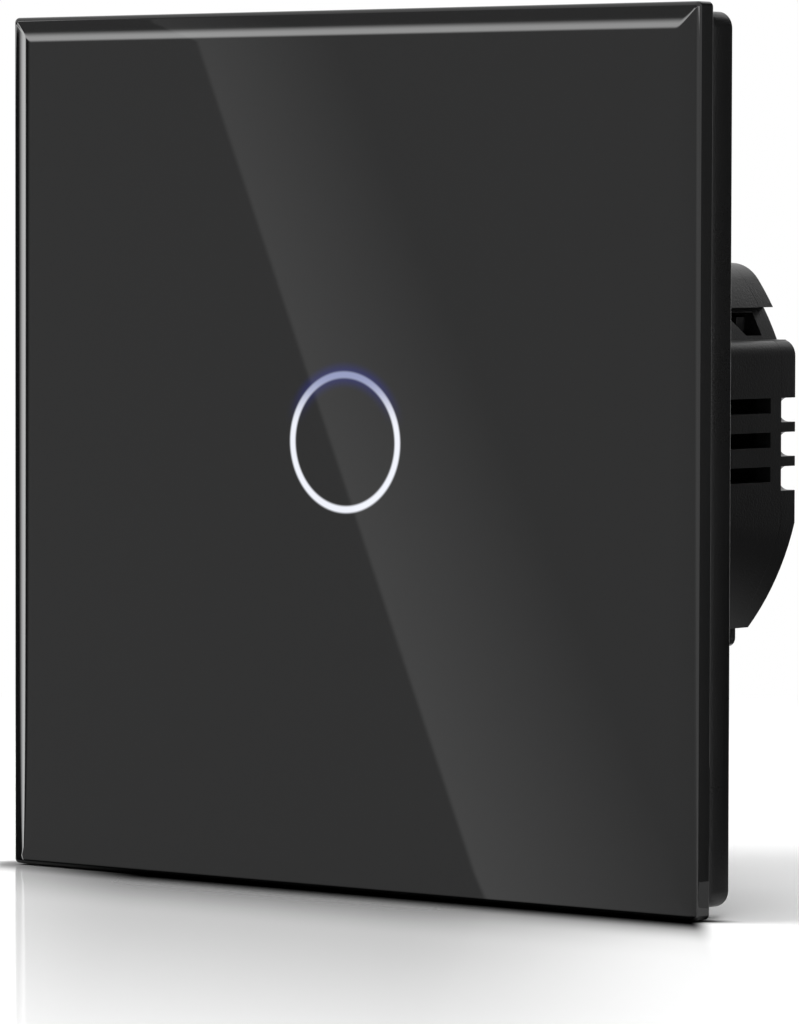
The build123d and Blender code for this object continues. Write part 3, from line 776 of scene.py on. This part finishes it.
# Room: the white round the switch, full to the eye and in mirrors, and softer as light, so that
# the lamps still shape the forms.
room_light = 0.5
world = bpy.data.worlds.new("room")
bpy.context.scene.world = world
world.use_nodes = True
room = Finish("room", white, tree=world.node_tree)
background = world.node_tree.nodes["Background"]
background.inputs["Color"].default_value = (*white, 1)
world.node_tree.links.new(
    looked_at(room).rise(0, 1, room_light, 1).socket, background.inputs["Strength"])


# Camera: a long lens in front and to the right of the panel, a little above its middle. Its
# place, turn and lens are those at which the panel lies as in the photograph.
camera_yaw = 0.6760
camera_pitch = 0.0449415
camera_roll = 0.0024176
camera_distance = 0.622667
camera_across = 0.005850
camera_up = -0.005855
camera_lens = 224.58
forward = Vector((
    -math.sin(camera_yaw) * math.cos(camera_pitch),
    math.cos(camera_yaw) * math.cos(camera_pitch), -math.sin(camera_pitch)))
right = Vector((math.cos(camera_yaw), math.sin(camera_yaw), 0))
up = right.cross(forward)
rolled_right = math.cos(camera_roll) * right + math.sin(camera_roll) * up
rolled_up = math.cos(camera_roll) * up - math.sin(camera_roll) * right
camera_place = (
    camera_across * right + camera_up * up - camera_distance * forward
    + Vector((0, pane_front, 0)))
camera_data = bpy.data.cameras.new("camera")
camera_data.lens = camera_lens
camera_data.sensor_width = 36
camera_data.clip_start = 0.01
camera = placed("camera", camera_data)
camera.matrix_world = Matrix((
    (rolled_right.x, rolled_up.x, -forward.x, camera_place.x),
    (rolled_right.y, rolled_up.y, -forward.y, camera_place.y),
    (rolled_right.z, rolled_up.z, -forward.z, camera_place.z),
    (0, 0, 0, 1)))
bpy.context.scene.camera = camera
view = bpy.context.scene.view_settings
view.view_transform = "Standard"


# Lamps: a large soft box in front on the left, a weaker one above, and the weakest behind on
# the left. Mirrors don't show them, because the cards below are made for that.
lamp_distance = 0.9


def soft_box(name, azimuth, elevation, size, power):
    """A square lamp that looks at the middle of the switch from these two angles in degrees."""
    light = bpy.data.lights.new(name, "AREA")
    light.shape = "SQUARE"
    light.size = size
    light.energy = power
    lamp = placed(name, light)
    level = math.cos(math.radians(elevation))
    towards = Vector((
        math.sin(math.radians(azimuth)) * level, -math.cos(math.radians(azimuth)) * level,
        math.sin(math.radians(elevation))))
    lamp.location = lamp_distance * towards
    lamp.rotation_euler = towards.to_track_quat("Z", "Y").to_euler()
    lamp.visible_glossy = False


soft_box("key_lamp", -50, 42, size=0.5, power=7)
soft_box("top_lamp", 30, 75, size=0.7, power=3)
soft_box("back_lamp", 205, 50, size=0.6, power=2.5)


# Front card: a sheet that only mirror rays meet, from its front. It leans away from the foot of
# the pane at 45 degrees, and the glass mirrors it: light that falls off from a slanting line, a
# bright strip each for the left and the top facet, and a little more light on the right.
card_foot = -0.0072
card_reach = 0.42
card_left = -1.1
card_right = 0.25
image_middle = (399.5, 512)
image_focus = 6388.15
line_high_pixel = (190, 20)
line_low_pixel = (470, 860)
card_base = 0.58
slope_width = 26
slope_narrowing = 0.06
slope_level = 0.56
slope_dimming = 0.0017
left_edge = -42
left_strip = (1.05, 1.30)
left_strip_level = 8.5
top_edge = 0.0415
top_strip = (2.0, 7.0)
top_strip_level = 5.3
above_dimming = 0.3
right_gain = 0.5


def glowing(finish, level):
    """Light of this level from a sheet's front, nothing from its back."""
    glow = finish.node("ShaderNodeEmission", {}, {"Color": white, "Strength": level})
    clear = finish.node("ShaderNodeBsdfTransparent")
    behind = finish.node("ShaderNodeNewGeometry", output="Backfacing")
    finish.output(finish.node("ShaderNodeMixShader", {}, {0: behind, 1: glow, 2: clear}))


def mirror_card(name, corners, finish):
    """A sheet of stage that only mirror rays meet."""
    mesh = bpy.data.meshes.new(name)
    mesh.from_pydata(corners, [], [(0, 1, 2, 3)])
    mesh.materials.append(finish.material)
    card = placed(name, mesh)
    card.visible_camera = False
    card.visible_diffuse = False
    card.visible_transmission = False
    card.visible_volume_scatter = False
    card.visible_shadow = False


def mirrored(pixel):
    """Where the glass sends the sight line of a pixel: across and up the front card."""
    ray = (forward + (pixel[0] - image_middle[0]) / image_focus * rolled_right
           - (pixel[1] - image_middle[1]) / image_focus * rolled_up)
    point = camera_place + ray * ((pane_front - camera_place.y) / ray.y)
    ray.y = -ray.y
    point = point + ray * ((card_foot - point.y - (point.z - floor_z)) / (ray.y + ray.z))
    return point.x * 1000, (point.z - floor_z) * 1000


front_card = Finish("front_card", white)
across = front_card.axis("X")
rise = front_card.axis("Z") - floor_z * 1000
high_x, high_rise = mirrored(line_high_pixel)
low_x, low_rise = mirrored(line_low_pixel)
slant = (high_x - low_x) / (high_rise - low_rise)
beside = across - (low_x + slant * (rise - low_rise))
fade = (1 - beside / (slope_width - slope_narrowing * rise)).higher(0)
slope = fade * (slope_level - slope_dimming * rise) * beside.rise(-0.4, 0.4)
outward = (left_edge - across) / rise.higher(0.05)
strip_start, strip_end = left_strip
strip = outward.rise(strip_start, strip_start + 0.03) * outward.rise(
    strip_start + 0.06, strip_end, 1, 0)
level = (card_base + slope) * outward.rise(0.93, 1.03, 1, 0.05) * rise.rise(0.2, 0.5)
level = level + strip * left_strip_level
top_low, top_high = (
    (top_edge - floor_z) * 1000 / (1 - math.tan(math.radians(angle)) / math.cos(camera_yaw))
    for angle in top_strip)
top = rise.rise(top_low, top_low + 3) * rise.rise(top_high - 7, top_high, 1, 0)
above = rise.rise(top_high - 2, top_high + 2)
level = level * (1 - above * above_dimming) + top * top_strip_level * (1 - strip)
glowing(front_card, level + across.rise(40, 100) * right_gain)
mirror_card("front_card", [
    (card_right, card_foot, floor_z), (card_left, card_foot, floor_z),
    (card_left, card_foot - card_reach, floor_z + card_reach),
    (card_right, card_foot - card_reach, floor_z + card_reach)], front_card)


# Side card: a dim sheet beside the right edge, which the frame's and the housing's right sides
# mirror. It is dimmer towards the rear, and nearly dark there below the middle.
side_card_x = 0.062
side_card_front = 0.005
side_card_back = 0.16
side_card_top = 0.12
side_card_level = 0.15
dimmer_depth = (18, 28)
dark_height = (-16, 6)
side_card = Finish("side_card", white)
beyond = side_card.axis("Y").rise(*dimmer_depth)
below = side_card.axis("Z").rise(*dark_height, 1, 0)
glowing(side_card, side_card_level * (1 - beyond * 0.5) * (1 - beyond * below * 0.95))
mirror_card("side_card", [
    (side_card_x, side_card_front, side_card_top), (side_card_x, side_card_back, side_card_top),
    (side_card_x, side_card_back, floor_z), (side_card_x, side_card_front, floor_z)], side_card)


# Under card: it lies just over the floor behind the panel, and is what the lower side of the
# housing mirrors: a dim sheet that paints the shaded floor into those reflections. It fades to dark
# from some way behind the housing.
under_card_x = 0.004
under_card_front = 0.001
under_card_back = 0.16
under_card_z = floor_z + 0.0005
under_card_level = 0.45
under_card_far_level = 0.01
fading_depth = (50, 76)
under_card = Finish("under_card", white)
# Painted shade: the sheet's level stands in for the shaded floor as the housing mirrors it.
glowing(under_card, under_card.axis("Y").rise(
    *fading_depth, under_card_level, under_card_far_level))
mirror_card("under_card", [
    (under_card_x, under_card_front, under_card_z), (side_card_x, under_card_front, under_card_z),
    (side_card_x, under_card_back, under_card_z),
    (under_card_x, under_card_back, under_card_z)], under_card)

bpy.context.view_layer.update()
